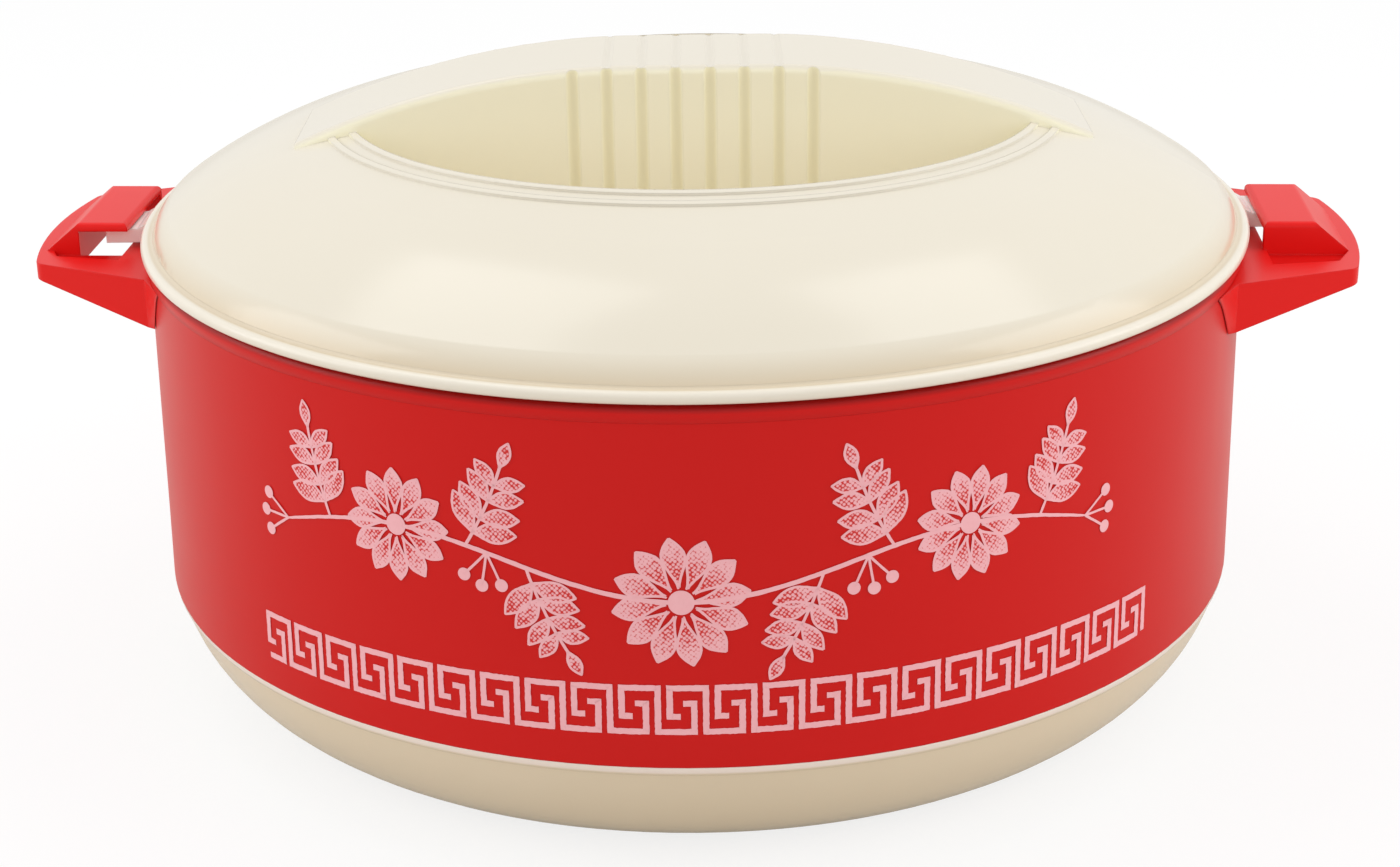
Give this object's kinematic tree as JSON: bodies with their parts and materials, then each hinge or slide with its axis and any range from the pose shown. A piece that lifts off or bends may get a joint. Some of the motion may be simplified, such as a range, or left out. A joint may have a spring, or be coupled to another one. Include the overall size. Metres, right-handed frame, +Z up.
{
  "type": "insulated casserole",
  "caption": "Round double-walled serving pot on a base pan, with hooked side handles and a domed lid that turns under the hooks to lock.",
  "frame": {"origin": "middle of the underside, on the plane of the foot", "axes": "+Z up, the two handles along X, the front seen in the picture at -Y"},
  "size_m": [0.335, 0.28, 0.1585],
  "materials": {
    "red_plastic": "injection-moulded polypropylene, satin gloss",
    "cream_plastic": "injection-moulded polypropylene, gloss",
    "steel": "drawn stainless steel",
    "foam": "rigid polyurethane foam"
  },
  "bodies": {
    "pot": {"base_pan": "cream_plastic", "base_plug": "cream_plastic", "outer_shell": "red_plastic", "right_handle": "red_plastic", "left_handle": "red_plastic", "inner_bowl": "steel", "body_insulation": "foam"},
    "lid": {"lid_base": "cream_plastic", "lid_plug": "cream_plastic", "lid_cover": "cream_plastic", "lid_insulation": "foam"}
  },
  "joints": [
    {"name": "lid_twist", "type": "hinge", "parent": "pot", "child": "lid", "pos_m": [0, 0, 0.1155], "axis": [0, 0, 1], "range_deg": [-5, 165]}
  ]
}
